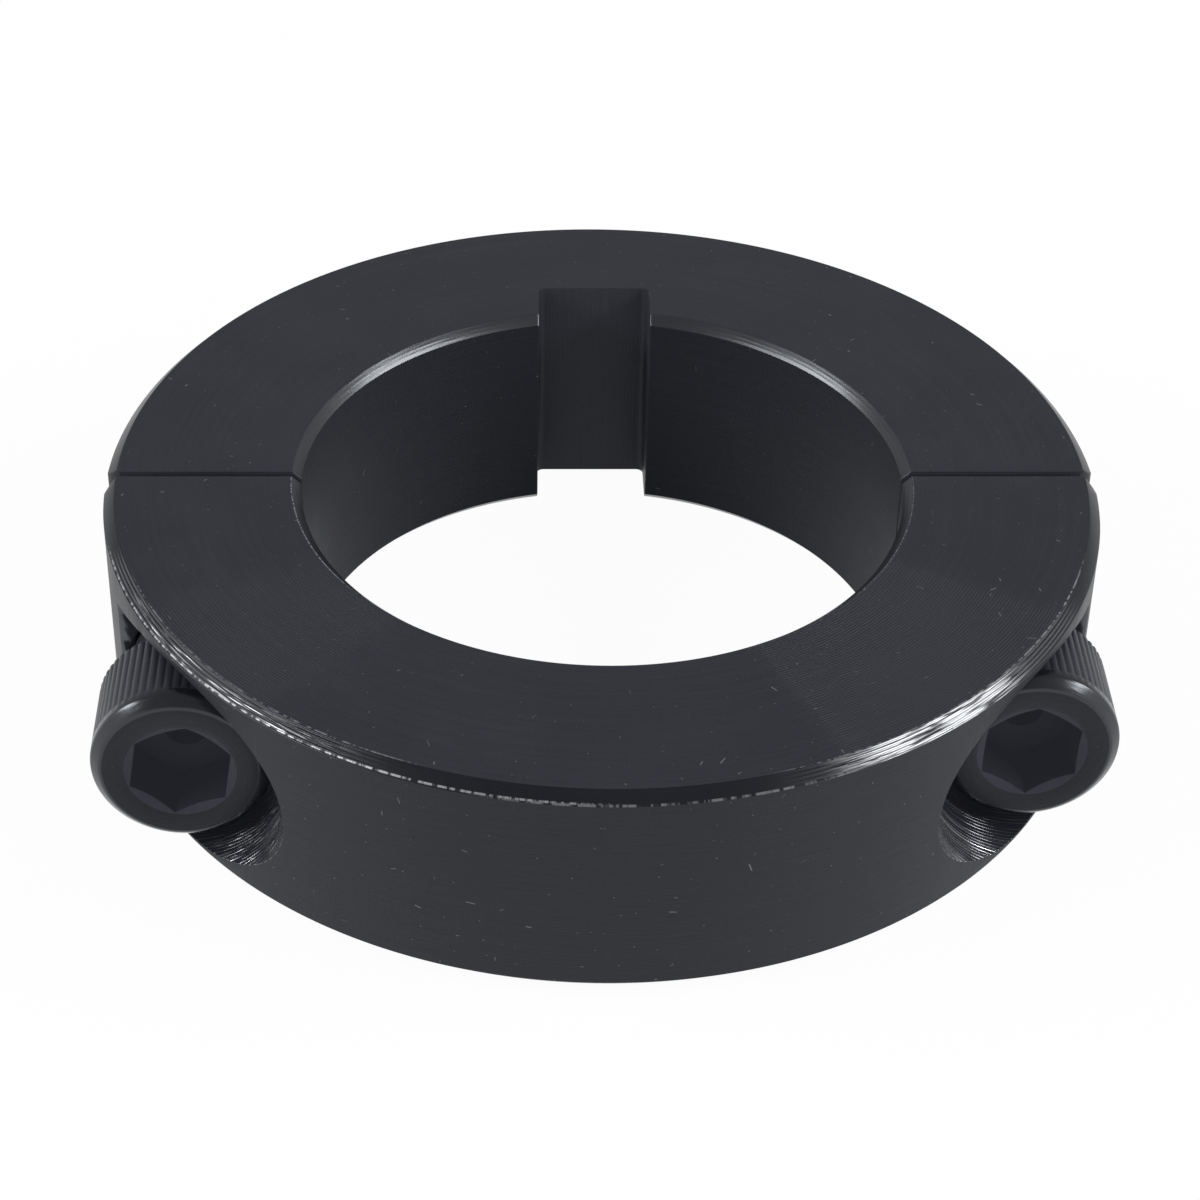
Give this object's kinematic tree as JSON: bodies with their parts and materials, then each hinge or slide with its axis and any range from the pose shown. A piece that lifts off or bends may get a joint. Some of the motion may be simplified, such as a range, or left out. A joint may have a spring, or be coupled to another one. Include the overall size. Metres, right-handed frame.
{
  "type": "axle lock collar",
  "caption": "Split steel shaft collar with a keyed bore, whose halves are drawn together by knurled socket head cap screws seated in side pockets.",
  "frame": {"origin": "on the bore axis, at the ring's lower face", "axes": "+Z along the bore, +Y towards the keyed half, -Y towards the screw heads"},
  "size_m": [0.0524, 0.0524, 0.0127],
  "materials": {
    "collar_steel": "black oxide, turned and milled",
    "screw_steel": "black oxide, knurled"
  },
  "bodies": {
    "rear_half": {"rear_half": "collar_steel"},
    "front_half": {"front_half": "collar_steel"},
    "left_screw": {"left_screw": "screw_steel"},
    "right_screw": {"right_screw": "screw_steel"}
  },
  "joints": [
    {"name": "front_half_slide", "type": "slide", "parent": "rear_half", "child": "front_half", "axis": [0, -1, 0], "range_m": [-0.00036, 0.012]},
    {"name": "left_screw_travel", "type": "slide", "parent": "front_half", "child": "left_screw", "axis": [0, -1, 0], "range_m": [-0.00288, 0.0051]},
    {"name": "right_screw_travel", "type": "slide", "parent": "front_half", "child": "right_screw", "axis": [0, -1, 0], "range_m": [-0.00158, 0.0064]}
  ]
}
